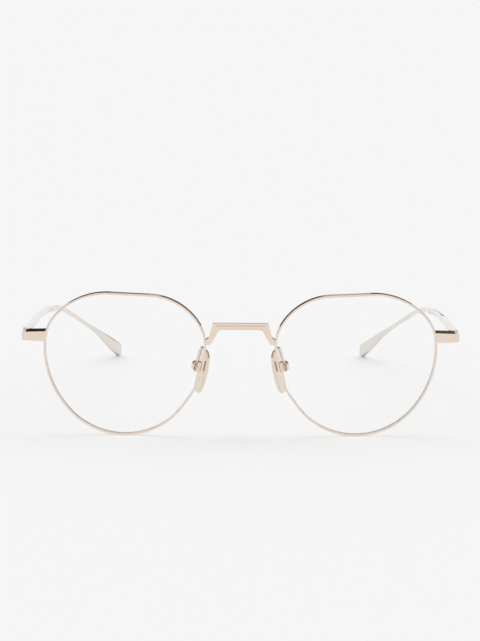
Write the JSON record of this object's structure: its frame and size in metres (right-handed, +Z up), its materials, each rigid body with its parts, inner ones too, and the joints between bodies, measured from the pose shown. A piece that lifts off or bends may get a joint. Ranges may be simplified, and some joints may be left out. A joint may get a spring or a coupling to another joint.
{
  "type": "eyeglasses",
  "caption": "Round wire eyeglasses with a flattened top, a straight bridge bar, clear lenses, rocking metal nose pads and folding metal temples.",
  "frame": {"origin": "middle of the bounding box's footprint, on the surface that the glasses stand on", "axes": "+X towards the wearer's left, +Y backwards along the temples, +Z up; the front faces -Y and leans forward 4 degrees, because the glasses stand on the rims and the temple tips"},
  "size_m": [0.1298, 0.1448, 0.0433],
  "materials": {
    "frame_metal": "polished",
    "pads": "polished",
    "screws": "polished",
    "washers": "gloss",
    "lens": "polished"
  },
  "bodies": {
    "front": {"bridge": "frame_metal", "left_rim": "frame_metal", "left_lens": "lens", "left_endpiece": "frame_metal", "left_rim_lock": "frame_metal", "left_rim_lock_screw": "screws", "left_front_hinge": "frame_metal", "left_hinge_screw": "screws", "left_hinge_washers": "washers", "left_pad_arm": "frame_metal", "left_pad_box": "frame_metal", "left_pad_screw": "screws", "right_rim": "frame_metal", "right_lens": "lens", "right_endpiece": "frame_metal", "right_rim_lock": "frame_metal", "right_rim_lock_screw": "screws", "right_front_hinge": "frame_metal", "right_hinge_screw": "screws", "right_hinge_washers": "washers", "right_pad_arm": "frame_metal", "right_pad_box": "frame_metal", "right_pad_screw": "screws"},
    "left_temple_body": {"left_temple": "frame_metal", "left_temple_hinge": "frame_metal"},
    "right_temple_body": {"right_temple": "frame_metal", "right_temple_hinge": "frame_metal"},
    "left_pad_body": {"left_nose_pad": "pads"},
    "right_pad_body": {"right_nose_pad": "pads"}
  },
  "joints": [
    {"name": "left_temple_fold", "type": "hinge", "parent": "front", "child": "left_temple_body", "pos_m": [0.06248, -0.06263, 0.02945], "axis": [0, -0.0698, 0.9976], "range_deg": [0, 87]},
    {"name": "right_temple_fold", "type": "hinge", "parent": "front", "child": "right_temple_body", "pos_m": [-0.06248, -0.06263, 0.02945], "axis": [0, 0.0698, -0.9976], "range_deg": [0, 83]},
    {"name": "left_pad_rock", "type": "hinge", "parent": "front", "child": "left_pad_body", "pos_m": [0.01311, -0.06658, 0.02042], "axis": [0.3333, 0.932, 0.1423], "range_deg": [-10, 10]},
    {"name": "right_pad_rock", "type": "hinge", "parent": "front", "child": "right_pad_body", "pos_m": [-0.01311, -0.06658, 0.02042], "axis": [0.3333, -0.932, -0.1423], "range_deg": [-10, 10]}
  ]
}
